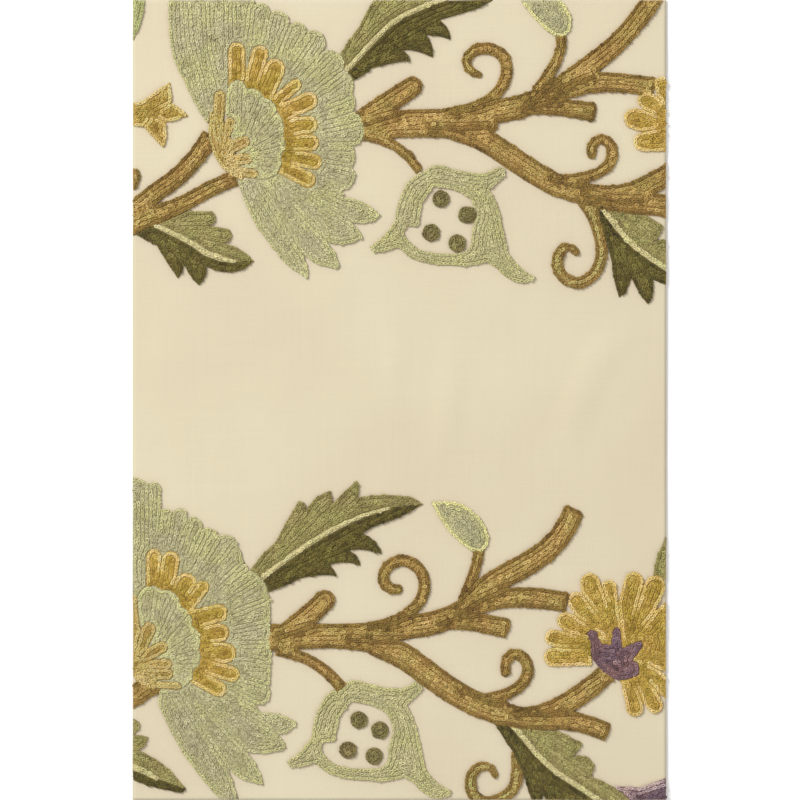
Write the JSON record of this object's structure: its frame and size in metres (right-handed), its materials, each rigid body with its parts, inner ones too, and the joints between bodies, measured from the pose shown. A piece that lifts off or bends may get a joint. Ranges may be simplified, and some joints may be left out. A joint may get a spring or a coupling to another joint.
{
  "type": "crewel embroidered fabric",
  "caption": "Flat cut length of plain woven cotton worked with branches, scalloped flowers, leaves and seed pods in raised wool chain stitch, with bare cloth and soft creases across its middle.",
  "frame": {"origin": "middle of the flat underside of the cloth, at the height it rests on", "axes": "+X to the right and +Y to the top of the cloth as its pattern is seen in the picture, +Z out of its worked face"},
  "size_m": [0.32, 0.48, 0.003],
  "materials": {
    "cotton_ground": "plain woven matt cotton",
    "wool_cream": "matt wool chain stitch",
    "wool_dome": "matt wool chain stitch",
    "wool_gold": "matt wool chain stitch",
    "wool_fan": "matt wool chain stitch",
    "wool_yellow": "matt wool chain stitch",
    "wool_branch": "matt wool chain stitch",
    "wool_seed": "matt wool chain stitch",
    "wool_pod": "matt wool chain stitch",
    "wool_rib": "matt wool chain stitch",
    "wool_leaf_light": "matt wool chain stitch",
    "wool_leaf_dark": "matt wool chain stitch",
    "wool_purple": "matt wool chain stitch",
    "wool_green": "matt wool chain stitch"
  },
  "bodies": {
    "root": {"ground_cloth": "cotton_ground", "calyx_upper": "wool_cream", "dome_upper": "wool_dome", "gold_petals_upper": "wool_gold", "fan_upper": "wool_fan", "yellow_flower_upper": "wool_yellow", "bud_upper": "wool_fan", "branches_upper": "wool_branch", "seed_upper_1": "wool_seed", "seed_upper_2": "wool_seed", "seed_upper_3": "wool_seed", "seed_upper_4": "wool_seed", "pod_upper": "wool_pod", "leaf_right_upper_rib": "wool_rib", "leaf_right_upper_light": "wool_leaf_light", "leaf_right_upper_dark": "wool_leaf_dark", "long_curl_upper": "wool_branch", "calyx_lower": "wool_cream", "dome_lower": "wool_dome", "gold_petals_lower": "wool_gold", "fan_lower": "wool_fan", "purple_calyx": "wool_purple", "yellow_flower_lower": "wool_yellow", "bud_lower": "wool_fan", "branches_lower": "wool_branch", "seed_lower_1": "wool_seed", "seed_lower_2": "wool_seed", "seed_lower_3": "wool_seed", "seed_lower_4": "wool_seed", "pod_lower": "wool_pod", "leaf_right_lower_rib": "wool_rib", "leaf_right_lower_light": "wool_leaf_light", "leaf_right_lower_dark": "wool_leaf_dark", "long_curl_lower": "wool_branch", "left_stems_upper": "wool_branch", "left_stem_lower": "wool_branch", "leaf_low_left_rib": "wool_rib", "leaf_low_left_light": "wool_leaf_light", "leaf_low_left_dark": "wool_leaf_dark", "leaf_top_rib": "wool_rib", "leaf_top_light": "wool_leaf_light", "leaf_top_dark": "wool_leaf_dark", "leaf_middle_rib": "wool_rib", "leaf_middle_light": "wool_leaf_light", "leaf_middle_dark": "wool_leaf_dark", "leaf_corner_rib": "wool_rib", "leaf_corner_light": "wool_leaf_light", "leaf_corner_dark": "wool_leaf_dark", "star_bud": "wool_gold", "leaf_top_corner": "wool_green", "leaf_right_edge": "wool_leaf_light", "twig_left_edge": "wool_branch", "flower_bottom_corner": "wool_purple"}
  },
  "joints": []
}
